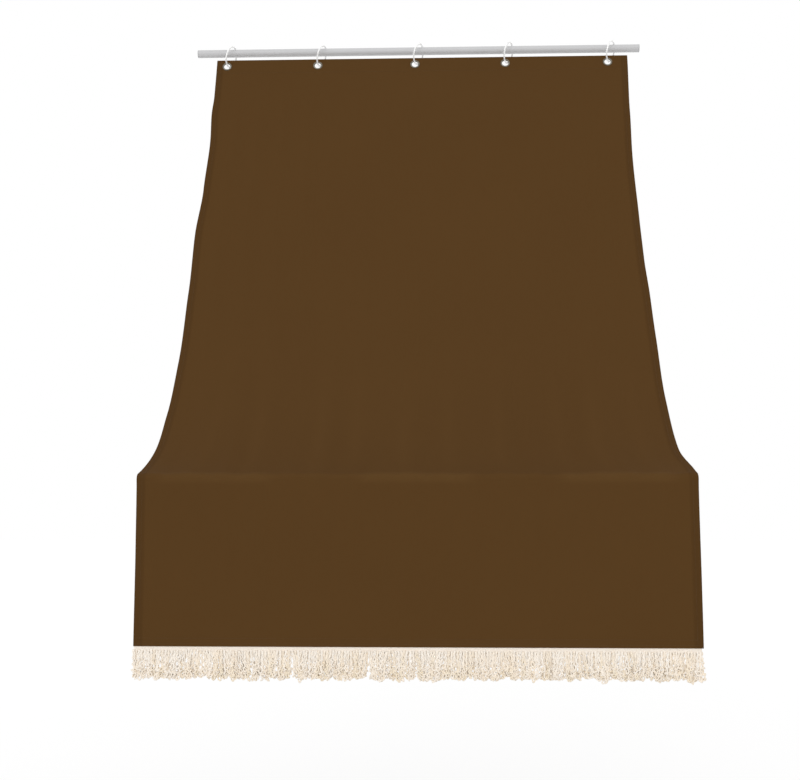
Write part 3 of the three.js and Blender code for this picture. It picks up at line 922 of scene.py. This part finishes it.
def make_washer(index):
    inner = barrel_radius + SEAT_GAP
    high = -hem_thickness - SEAT_GAP
    low = high - WASHER_THICKNESS
    washer = lathe(f"nickel_washer_{index + 1}", [
        (inner, low + NICKEL_EDGE), (inner + NICKEL_EDGE, low),
        (WASHER_RADIUS - NICKEL_EDGE, low), (WASHER_RADIUS, low + NICKEL_EDGE),
        (WASHER_RADIUS, high), (inner, high)], EYELET_SEGMENTS,
        eyelet_frame(EYELET_PLACES[index]))
    add_hard_piece(washer, EYELET_FINISH, CARRIERS[index], "eyelet",
                   f"eyelet_washer_{index + 1}")


for index in range(len(EYELET_PLACES)):
    make_ring(index)
    make_eyelet(index)
    make_washer(index)


# Cloth

CLOTH_COLUMN = 0.0105
CLOTH_ROW = 0.0095
LEAST_COLUMNS = 3
BREAK_ROWS = 10
EDGE_BAND = 0.0012
HEM_ROUNDING = 0.35
PUNCH_SEGMENTS = 40
PUNCH_DEPTH = 0.03
HEM_SHARP_ANGLE = math.radians(80)


def stations(low, high, widest):
    count = max(1, math.ceil((high - low) / widest))
    return [low + (high - low) * i / count for i in range(count)]


def cloth_rows():
    break_start = curve_length - cloth_start
    break_end = break_start + break_length
    hem = CLOTH_LENGTH - BOTTOM_HEM
    return np.array([0] + stations(EDGE_BAND, TOP_HEM, CLOTH_ROW) + [TOP_HEM]
                    + stations(TOP_HEM + HEM_STEP, break_start, CLOTH_ROW)
                    + stations(break_start, break_end, break_length / BREAK_ROWS)
                    + stations(break_end, hem - HEM_STEP, CLOTH_ROW) + [hem - HEM_STEP, hem]
                    + [hem + BOTTOM_HEM / 2, CLOTH_LENGTH - EDGE_BAND, CLOTH_LENGTH])


def across_at(x, down):
    """How far across the cloth a place along the rail is, at distances down the cloth."""
    left, right = edge_shift(LEFT_EDGE, down), edge_shift(RIGHT_EDGE, down)
    return (x - cloth_left - left) / (1 + (right - left) / CLOTH_WIDTH)


def strip_columns(low, high, rows):
    """Across the cloth at every row and column of a strip from low to high along the rail.

    None stands for the cloth's own edge, with its hem.
    """
    hem = np.array([0, EDGE_BAND, SIDE_HEM / 2, SIDE_HEM, SIDE_HEM + HEM_STEP])
    first = np.full(len(rows), hem[-1]) if low is None else across_at(low, rows)
    last = np.full(len(rows), CLOTH_WIDTH - hem[-1]) if high is None else across_at(high, rows)
    count = max(LEAST_COLUMNS, math.ceil((last - first).max() / CLOTH_COLUMN))
    share = np.linspace(0, 1, count + 1)
    columns = first[:, None] + (last - first)[:, None] * share
    if low is None:
        columns = np.concatenate([np.tile(hem[:-1], (len(rows), 1)), columns], axis=1)
    if high is None:
        far_hem = CLOTH_WIDTH - hem[-2::-1]
        columns = np.concatenate([columns, np.tile(far_hem, (len(rows), 1))], axis=1)
    return columns


def make_strip(name, low, high, punched):
    """A strip of the cloth as a closed mesh, with a hole for each of the punched eyelets."""
    rows = cloth_rows()
    across = strip_columns(low, high, rows)
    down = np.broadcast_to(rows[:, None], across.shape)
    front = cloth_points(across, down)
    rear = cloth_points(across, down, cloth_thickness(across, down))
    height, width = across.shape
    layer = height * width
    index, faces = two_sided_grid(height, width)

    # Along the border, one more row of points rounds the fold of a hem
    border = ([(r, 0) for r in range(height)] + [(height - 1, c) for c in range(1, width)]
              + [(r, width - 1) for r in range(height - 2, -1, -1)]
              + [(0, c) for c in range(width - 2, 0, -1)])
    middle = []
    for r, c in border:
        outward = np.zeros(3)
        if c == 0 and low is None:
            outward[0] -= 1
        if c == width - 1 and high is None:
            outward[0] += 1
        if r in (0, height - 1):
            along = front[r, c] - front[1 if r == 0 else -2, c]
            outward += along / np.linalg.norm(along)
        outward *= hem_thickness * HEM_ROUNDING / max(np.linalg.norm(outward), 1)
        middle.append((front[r, c] + rear[r, c]) / 2 + outward)
    first = 2 * layer
    count = len(border)
    for i, place in enumerate(border):
        j = (i + 1) % count
        here, there = int(index[place]), int(index[border[j]])
        faces.append((here, first + i, first + j, there))
        faces.append((first + i, here + layer, there + layer, first + j))
    points = np.concatenate([front.reshape(-1, 3), rear.reshape(-1, 3), np.array(middle)])
    mesh = mesh_from(name, points, faces)

    flat = np.stack([across, down], -1).reshape(-1, 2)
    border_flat = np.array([(across[r, c], rows[r]) for r, c in border])
    flat = np.concatenate([flat, flat, border_flat])
    # Painted highlight along the drape folds, kept on each point for the finish
    fold_highlight = mesh.attributes.new("fold_highlight", "FLOAT", "POINT")
    fold_highlight.data.foreach_set("value", painted_fold_highlight(*flat.T).astype(np.float32))
    corner = np.empty(len(mesh.loops), int)
    mesh.loops.foreach_get("vertex_index", corner)
    uv = mesh.uv_layers.new(name="UVMap")
    uv.data.foreach_set("uv", flat[corner].astype(np.float32).ravel())
    with bmesh_of(mesh) as bm:
        if bm.calc_volume(signed=True) < 0:
            bmesh.ops.reverse_faces(bm, faces=bm.faces)
    strip = add_object(name, mesh)
    if punched:
        punch_holes(strip, punched)
    mark_sharp(strip.data, HEM_SHARP_ANGLE)
    return strip


def punch_holes(strip, places):
    radius = barrel_radius + SEAT_GAP
    punch = add_object("punches", bpy.data.meshes.new("punches"))
    with bmesh_of(punch.data) as bm:
        for place in places:
            bmesh.ops.create_cone(bm, cap_ends=True, segments=PUNCH_SEGMENTS, radius1=radius,
                                  radius2=radius, depth=PUNCH_DEPTH, matrix=eyelet_frame(place))
    cut = strip.modifiers.new("eyelet_holes", "BOOLEAN")
    cut.operation = "DIFFERENCE"
    cut.solver = "EXACT"
    cut.object = punch
    mesh = evaluated_mesh(strip)
    strip.modifiers.clear()
    strip.data = mesh
    bpy.data.objects.remove(punch)


def cuts_beside(places):
    """Where the cloth is cut: on both sides of each eyelet, but not beside its own edges."""
    return [place + side * FLAT_REACH for place in places for side in (-1, 1)][1:-1]


def make_cloth():
    pieces = []
    for i, (low, high) in enumerate(STRIPS):
        punched = EYELET_PLACES[i // 2:i // 2 + 1] if i % 2 == 0 else []
        strip = make_strip(f"brown_cloth_{i + 1}", low, high, punched)
        pieces.append(dress(strip, CLOTH_FINISH, CARRIERS[i // 2], "cloth", "awning_cloth"))
    return pieces


# Strips from left to right, as their ends along the rail. None stands for the cloth's edge.
# Flat strips round the eyelets take turns with the strips between them, where the real cloth
# folds.
strip_ends = [None, *cuts_beside(eyelet_x), None]
STRIPS = list(zip(strip_ends, strip_ends[1:]))
cloth = make_cloth()


# Geometry node trees

def geometry_tree(name, inputs):
    """A node group for a modifier, with a geometry before its other inputs."""
    tree, *rest = node_group(name, "GeometryNodeTree", [("Geometry", GEOMETRY), *inputs],
                             [("Geometry", GEOMETRY)])
    tree.is_modifier = True
    return tree, *rest


def end_tree(nodes, given, result, geometry):
    """Makes the tree's geometry real, smooth and painted, and puts it out."""
    for kind in ("GeometryNodeRealizeInstances", "GeometryNodeSetShadeSmooth"):
        geometry = nodes.add(kind, {0: geometry}).outputs[0]
    painted = nodes.add("GeometryNodeSetMaterial", {
        "Geometry": geometry, "Material": given["Material"]})
    nodes.plug(result[0], painted.outputs[0])


def run_tree(piece, tree, values):
    """Runs a geometry tree on a piece, and leaves the result as its plain mesh."""
    modifier = piece.modifiers.new(tree.name, "NODES")
    modifier.node_group = tree
    for item in tree.interface.items_tree:
        if item.in_out == "INPUT" and item.name in values:
            modifier[item.identifier] = values[item.name]
    mesh = evaluated_mesh(piece)
    name = piece.name
    bpy.data.objects.remove(piece)
    made = add_object(name, mesh)
    mesh.name = name
    return made


STITCH_SPACING = 0.0042
STITCH_LENGTH = 0.0034
THREAD_RADIUS = 0.0003
STITCH_SEGMENTS = 6
STITCH_RINGS = 3


def make_stitch_tree():
    """One short stitch after another along each path."""
    tree, nodes, given, result = geometry_tree("stitch_rows", [
        ("Spacing", FLOAT), ("Stitch Length", FLOAT), ("Thread Radius", FLOAT),
        ("Material", MATERIAL)])
    paths = nodes.add("GeometryNodeCurveToPoints", {
        "Curve": given["Geometry"], "Length": given["Spacing"]}, mode="LENGTH")
    ball = nodes.add("GeometryNodeMeshUVSphere", {
        "Segments": STITCH_SEGMENTS, "Rings": STITCH_RINGS, "Radius": 1.0})
    size = nodes.combine(given["Thread Radius"], given["Thread Radius"],
                         nodes.times(given["Stitch Length"], 0.5))
    stitch = nodes.add("GeometryNodeTransform", {
        "Geometry": ball.outputs["Mesh"], "Scale": size})
    placed = nodes.add("GeometryNodeInstanceOnPoints", {
        "Points": paths.outputs["Points"], "Instance": stitch.outputs[0],
        "Rotation": paths.outputs["Rotation"]})
    end_tree(nodes, given, result, placed.outputs[0])
    return tree


def poly_curves(name, paths):
    """A curve object with one straight-segment spline for each path."""
    data = bpy.data.curves.new(name, "CURVE")
    data.dimensions = "3D"
    for path in paths:
        spline = data.splines.new("POLY")
        spline.points.add(len(path) - 1)
        flat = np.concatenate([path, np.ones((len(path), 1))], axis=1)
        spline.points.foreach_set("co", flat.ravel())
    return add_object(name, data)


STITCH_STEP = 0.009
STITCH_INSET = 0.003
STITCH_END = 0.002
THREAD_LIFT = 0.00012


def stitch_paths(low, high):
    """Rows of stitches on a strip's front and back, along the hems, the tape and its edge."""
    behind_hem = hem_thickness + THREAD_LIFT
    behind_tape = hem_thickness + SEAT_GAP + TAPE_THICKNESS
    lines = []
    for down, behind in ((TOP_HEM - STITCH_INSET, behind_hem),
                         (CLOTH_LENGTH - BOTTOM_HEM + STITCH_INSET, behind_hem),
                         (CLOTH_LENGTH - TAPE_LAP + STITCH_INSET, behind_tape)):
        first = 0 if low is None else across_at(low, down)
        last = CLOTH_WIDTH if high is None else across_at(high, down)
        lines.append((np.arange(first + STITCH_END, last - STITCH_END, STITCH_STEP), down,
                      behind))
    down_line = np.arange(STITCH_INSET, CLOTH_LENGTH - STITCH_INSET, STITCH_STEP)
    side = SIDE_HEM - STITCH_INSET
    if low is None:
        lines.append((side, down_line, behind_hem))
    if high is None:
        lines.append((CLOTH_WIDTH - side, down_line, behind_hem))
    return [cloth_points(across, down, place) for across, down, behind in lines
            for place in (-THREAD_LIFT, behind)]


def make_stitching():
    tree = make_stitch_tree()
    pieces = []
    for i, (low, high) in enumerate(STRIPS):
        rows = poly_curves(f"stitching_{i + 1}", stitch_paths(low, high))
        stitches = run_tree(rows, tree, {
            "Spacing": STITCH_SPACING, "Stitch Length": STITCH_LENGTH,
            "Thread Radius": THREAD_RADIUS, "Material": THREAD_FINISH})
        pieces.append(dress(stitches, THREAD_FINISH, CARRIERS[i // 2], "cloth"))
    return pieces


stitching = make_stitching()


# Fringe: a ribbed heading tape and rows of crinkled yarn loops

hem_out, hem_down, _ = hang(cloth_start + CLOTH_LENGTH)
tape_middle = -float(hem_out) + hem_thickness + SEAT_GAP + TAPE_THICKNESS / 2
tape_bottom = -float(hem_down) + TAPE_LAP - TAPE_HEIGHT
tape_left = cloth_left + TAPE_INSET
tape_length = CLOTH_WIDTH - 2 * TAPE_INSET
RIB_PITCH = 0.003
RIB_RISE = 0.00045
TAPE_COLUMNS_IN_RIB = 4
TAPE_LEVELS = 5
TAPE_CORE = 0.0024
TAPE_EDGE_SHARE = 0.55
TAPE_CROWN_SHARE = 0.45
TAPE_EDGE = 0.0002

# Slow waver of the tape's lower edge, each wave as height, rate along X and start
TAPE_WAVES = ((0.0003, 31, 0), (0.0002, 83, 1))


def make_tape():
    """Closed strip whose front and back are ribbed from top to bottom."""
    columns = int(tape_length / RIB_PITCH * TAPE_COLUMNS_IN_RIB)
    x = np.linspace(0, tape_length, columns + 1)
    level = np.linspace(0, 1, TAPE_LEVELS)
    rib = RIB_RISE * np.abs(np.sin(math.pi * x / RIB_PITCH))
    ends = np.minimum(1, np.minimum(x, tape_length - x) / RIB_PITCH)
    crown = TAPE_EDGE_SHARE + TAPE_CROWN_SHARE * np.sin(math.pi * level) ** 0.5
    half = (TAPE_CORE / 2 * ends + rib * ends)[None, :] * crown[:, None] + TAPE_EDGE
    wave = sum(rise * np.sin(x * rate + start) for rise, rate, start in TAPE_WAVES)
    z = tape_bottom + TAPE_HEIGHT * (1 - level)[:, None] + wave[None, :] * level[:, None]
    x = np.broadcast_to(tape_left + x, z.shape)
    points = np.concatenate([np.stack([x, tape_middle + side * half, z], -1).reshape(-1, 3)
                             for side in (-1, 1)])
    index, faces = two_sided_grid(*z.shape)
    layer = index.size
    border = np.concatenate([index[:, 0], index[-1, 1:], index[-2::-1, -1], index[0, -2:0:-1]])
    for here, there in zip(border.tolist(), np.roll(border, -1).tolist()):
        faces.append((here, here + layer, there + layer, there))
    tape = add_object("fringe_tape", mesh_from("fringe_tape", points, faces))
    return dress(tape, TAPE_FINISH, CURTAIN, "fringe")


# Yarn loops. A pair of numbers is the least and the most of a random share.
LOOP_END_ROOM = 0.006
LOOP_ROOT = 0.004
LOOP_ROW_DEPTH = 0.0017
LOOP_ROW_ORDER = (0, 2, 1, 3)
LOOP_ROW_CLUMPS = (5.0, 5.0, 47.0, 47.0)
LOOP_ROW_LEANS = (0.055, 0.055, 0.012, 0.012)
LOOP_FIRST_SEED = 3
LOOP_SEED_STEP = 40
LOOP_SIZES = {
    "Half Width": 0.004, "Depth": 0.003, "Root Spread": 0.003, "Crinkle": 0.0034,
    "Wave": 0.0010, "Curl": 0.0040, "Curl Pitch": 0.0150, "Points": 132}
LOOP_CROWDING = 1.5
LOOP_LENGTHS = (0.955, 1.025)
LOOP_WIDTHS = (0.5, 1.3)
LOOP_WAIST = 0.3
LOOP_OWN_LEAN = 0.25
BUNCHES_IN_LENGTH = 33.0
BUNCHES_IN_LEAN = 34.0
BUNCH_LENGTH_SHARE = 0.28
WANDER_SCALE = 45.0
WANDER_PER_LOOP = 0.35
WANDER_AT_ROOT = 0.6
WANDER_BELOW = 3.2
WANDER_FULL_AT = 0.45
WAVE_FULL_AT = 0.12
CURL_FROM = 0.35
CURL_FULL_AT = 0.8
CURL_SIZES = (0.75, 1.25)
CURL_PITCHES = (0.8, 1.25)
CURL_DEPTH_SHARE = 0.8
YARN_SIDES = 5


def make_loop_tree():
    """Loops of yarn that hang from a line of roots, wavy at the top and curled below."""
    tree, nodes, given, result = geometry_tree("looped_fringe", [
        ("Loops", INT), ("Pitch", FLOAT), ("Start", VECTOR), ("Length", FLOAT),
        ("Half Width", FLOAT), ("Lean", FLOAT), ("Depth", FLOAT), ("Root Spread", FLOAT),
        ("Crinkle", FLOAT), ("Wave", FLOAT), ("Curl", FLOAT), ("Curl Pitch", FLOAT),
        ("Points", INT), ("Yarn Radius", FLOAT), ("Clumps", FLOAT), ("Seed", INT),
        ("Material", MATERIAL)])
    roots = nodes.add("GeometryNodeMeshLine", {
        "Count": given["Loops"], "Offset": nodes.combine(given["Pitch"])}, mode="OFFSET")
    strand = nodes.add("GeometryNodeResampleCurve", {
        "Curve": nodes.add("GeometryNodeCurvePrimitiveLine").outputs[0],
        "Count": given["Points"]}, mode="COUNT")
    placed = nodes.add("GeometryNodeInstanceOnPoints", {
        "Points": roots.outputs["Mesh"], "Instance": strand.outputs[0]})
    strands = nodes.add("GeometryNodeRealizeInstances", {"Geometry": placed.outputs[0]})
    which = nodes.add("GeometryNodeCurveOfPoint").outputs["Curve Index"]

    def random(low, high, salt):
        node = nodes.add("FunctionNodeRandomValue", {
            "Min_001": low, "Max_001": high, "ID": which,
            "Seed": nodes.plus(given["Seed"], salt)}, data_type="FLOAT")
        return nodes.socket(node.outputs, "Value_001")

    def bunching(position, frequency, salt):
        """Slow variation along the tape, from -0.5 to 0.5, shared by neighbouring loops."""
        place = nodes.plus(nodes.times(position, frequency), nodes.plus(given["Clumps"], salt))
        noise = nodes.add("ShaderNodeTexNoise", {"W": place, "Scale": 1.0, "Detail": 1.0},
                          noise_dimensions="1D")
        return nodes.minus(noise.outputs[0], 0.5)

    # Down one leg, round the lowest point and up the other, with more points lower down
    root, _, share = nodes.separate(nodes.add("GeometryNodeInputPosition").outputs[0])
    from_middle = nodes.math("ABSOLUTE", nodes.minus(nodes.times(share, 2.0), 1.0))
    fall = nodes.minus(1.0, nodes.math("POWER", from_middle, LOOP_CROWDING))
    sideways = nodes.times(nodes.math("COSINE", nodes.times(share, math.pi)), -1.0)
    length = nodes.times(given["Length"], nodes.plus(
        random(*LOOP_LENGTHS, 2),
        nodes.times(bunching(root, BUNCHES_IN_LENGTH, 11), BUNCH_LENGTH_SHARE)))
    half = nodes.times(given["Half Width"], random(*LOOP_WIDTHS, 3))
    belly = nodes.plus(LOOP_WAIST, nodes.times(fall, 1 - LOOP_WAIST))
    lean = nodes.times(given["Lean"], nodes.times(nodes.plus(
        bunching(root, BUNCHES_IN_LEAN, 23),
        nodes.times(random(-0.5, 0.5, 4), LOOP_OWN_LEAN)), fall))
    x = nodes.plus(nodes.plus(root, lean), nodes.times(nodes.times(half, belly), sideways))
    y = nodes.times(nodes.times(given["Depth"], random(-1.0, 1.0, 5)), fall)
    z = nodes.times(nodes.times(length, fall), -1.0)
    shaped = nodes.add("GeometryNodeSetPosition", {
        "Geometry": nodes.stored(strands.outputs[0], "fall", fall),
        "Position": nodes.combine(x, y, z)})

    # Slow wander of each strand, and a wave that closes into curls near the lower edge
    depth = nodes.add("GeometryNodeInputNamedAttribute", {"Name": "fall"},
                      data_type="FLOAT").outputs[0]
    turmoil = nodes.add("ShaderNodeTexNoise", {
        "Vector": nodes.add("GeometryNodeInputPosition").outputs[0],
        "W": nodes.times(which, WANDER_PER_LOOP), "Scale": WANDER_SCALE, "Detail": 1.0},
        noise_dimensions="4D").outputs["Color"]
    wander = nodes.scaled(
        nodes.vector("SUBTRACT", turmoil, (0.5, 0.5, 0.5)),
        nodes.times(given["Crinkle"], nodes.step(
            depth, 0.0, WANDER_FULL_AT, WANDER_AT_ROOT, WANDER_BELOW)))
    swing = nodes.times(
        nodes.step(depth, CURL_FROM, CURL_FULL_AT, given["Wave"], given["Curl"]),
        nodes.times(random(*CURL_SIZES, 8), nodes.step(depth, 0.0, WAVE_FULL_AT, 0.0, 1.0)))
    travelled = nodes.add("GeometryNodeSplineParameter").outputs["Length"]
    pitch = nodes.times(given["Curl Pitch"], random(*CURL_PITCHES, 9))
    turn = nodes.plus(random(0.0, 2 * math.pi, 6), nodes.times(
        travelled, nodes.math("DIVIDE", 2 * math.pi, pitch)))
    curl = nodes.scaled(nodes.combine(
        nodes.math("SINE", turn),
        nodes.times(nodes.math("SINE", nodes.times(turn, 0.5)), CURL_DEPTH_SHARE),
        nodes.math("COSINE", turn)), swing)
    crinkled = nodes.add("GeometryNodeSetPosition", {
        "Geometry": shaped.outputs[0], "Offset": nodes.vector("ADD", wander, curl)})
    drop = nodes.times(random(-0.5, 1.0, 10), given["Root Spread"])
    moved = nodes.add("GeometryNodeSetPosition", {
        "Geometry": crinkled.outputs[0],
        "Offset": nodes.vector("ADD", given["Start"], nodes.combine(0.0, 0.0, drop))})

    # Each strand becomes a tube that knows its tone, its length and the way round it
    yarn = nodes.add("GeometryNodeSplineParameter").outputs
    toned = nodes.stored(moved.outputs[0], "tone", random(0.0, 1.0, 7))
    circle = nodes.add("GeometryNodeCurvePrimitiveCircle", {
        "Resolution": YARN_SIDES, "Radius": given["Yarn Radius"]}, mode="RADIUS")
    tubes = nodes.add("GeometryNodeCurveToMesh", {
        "Curve": nodes.stored(toned, "along", yarn["Length"]),
        "Profile Curve": nodes.stored(circle.outputs["Curve"], "around", yarn["Factor"]),
        "Fill Caps": True})
    end_tree(nodes, given, result, tubes.outputs[0])
    return tree


def make_loops():
    tree = make_loop_tree()
    pitch = (tape_length - 2 * LOOP_END_ROOM) / (LOOPS_IN_ROW - 1)
    middle_row = (LOOP_ROWS - 1) / 2
    rows = []
    for row in range(LOOP_ROWS):
        sideways = LOOP_END_ROOM + (LOOP_ROW_ORDER[row] - middle_row) * pitch / LOOP_ROWS
        behind = (row - middle_row) * LOOP_ROW_DEPTH
        name = f"fringe_loops_{row + 1}"
        made = run_tree(add_object(name, bpy.data.meshes.new(name)), tree, {
            "Loops": LOOPS_IN_ROW, "Pitch": pitch, "Length": LOOP_LENGTH,
            "Start": (tape_left + sideways, tape_middle + behind, tape_bottom + LOOP_ROOT),
            "Yarn Radius": YARN_RADIUS, "Clumps": LOOP_ROW_CLUMPS[row],
            "Lean": LOOP_ROW_LEANS[row], "Seed": LOOP_FIRST_SEED + LOOP_SEED_STEP * row,
            "Material": YARN_FINISH, **LOOP_SIZES})
        rows.append(dress(made, YARN_FINISH, CURTAIN, "fringe"))
    return rows


tape = make_tape()
loops = make_loops()
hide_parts("fringe")

flat_widths = np.diff([0, *cuts_beside(EYELET_PLACES), CLOTH_WIDTH]).round(4).tolist()
for i, width in enumerate(flat_widths):
    held = i % 2 == 0
    if not held:
        gather_between(cloth[i])
        gather_between(stitching[i])
for piece in (tape, *loops):
    gather_along(piece)


# Floor, light and background

FLOOR_HEIGHT = -2.62
FLOOR_SIZE = 60
FLOOR_GREY = 0.9
FLOOR_SHADOW_SHARE = 0.22
FLOOR_SEEN = 1.01
WHITE = (1, 1, 1, 1)
LIGHT_LEVEL = 0.95
KEY_STRENGTH = 0.42
KEY_SOFTNESS = math.radians(50)
KEY_FROM = Vector((-0.25, -1, 0.45))


def plain_background_ray(nodes):
    """1 for rays that should see the plain white background."""
    path = nodes.add("ShaderNodeLightPath").outputs
    seen = nodes.math("MAXIMUM", path["Is Camera Ray"], path["Is Glossy Ray"])
    return nodes.math("MAXIMUM", seen, path["Is Transmission Ray"])


def make_world():
    world = bpy.data.worlds.new("soft_light")
    scene.world = world
    world.use_nodes = True
    nodes = Nodes(world.node_tree)
    world.node_tree.nodes.clear()
    lit = nodes.add("ShaderNodeBackground", {"Color": WHITE, "Strength": LIGHT_LEVEL})
    white = nodes.add("ShaderNodeBackground", {"Color": WHITE, "Strength": 1.0})
    mixed = nodes.add("ShaderNodeMixShader", {
        0: plain_background_ray(nodes), 1: lit.outputs[0], 2: white.outputs[0]})
    nodes.add("ShaderNodeOutputWorld", {"Surface": mixed.outputs[0]})


def make_floor():
    material = bpy.data.materials.new("pale_floor")
    material.use_nodes = True
    nodes = Nodes(material.node_tree)
    material.node_tree.nodes.clear()
    matte = nodes.add("ShaderNodeBsdfDiffuse", {"Color": (FLOOR_GREY,) * 3 + (1,)})
    glow = nodes.add("ShaderNodeEmission", {
        "Color": WHITE,
        "Strength": (FLOOR_SEEN - FLOOR_SHADOW_SHARE * FLOOR_GREY) / (1 - FLOOR_SHADOW_SHARE)})
    share = nodes.times(plain_background_ray(nodes), 1 - FLOOR_SHADOW_SHARE)
    mixed = nodes.add("ShaderNodeMixShader", {0: share, 1: matte.outputs[0], 2: glow.outputs[0]})
    nodes.add("ShaderNodeOutputMaterial", {"Surface": mixed.outputs[0]})
    half = FLOOR_SIZE / 2
    corners = [(-half, -half), (half, -half), (half, half), (-half, half)]
    floor = add_object("floor", mesh_from(
        "floor", [(x, y, FLOOR_HEIGHT) for x, y in corners], [(0, 1, 2, 3)], smooth=False))
    floor.data.materials.append(material)


def make_key_light():
    data = bpy.data.lights.new("key", "SUN")
    data.energy = KEY_STRENGTH
    data.angle = KEY_SOFTNESS
    key = add_object("key", data)
    key.matrix_world = KEY_FROM.to_track_quat("Z", "Y").to_matrix().to_4x4()


make_world()
make_floor()
make_key_light()
scene.view_settings.view_transform = "Standard"
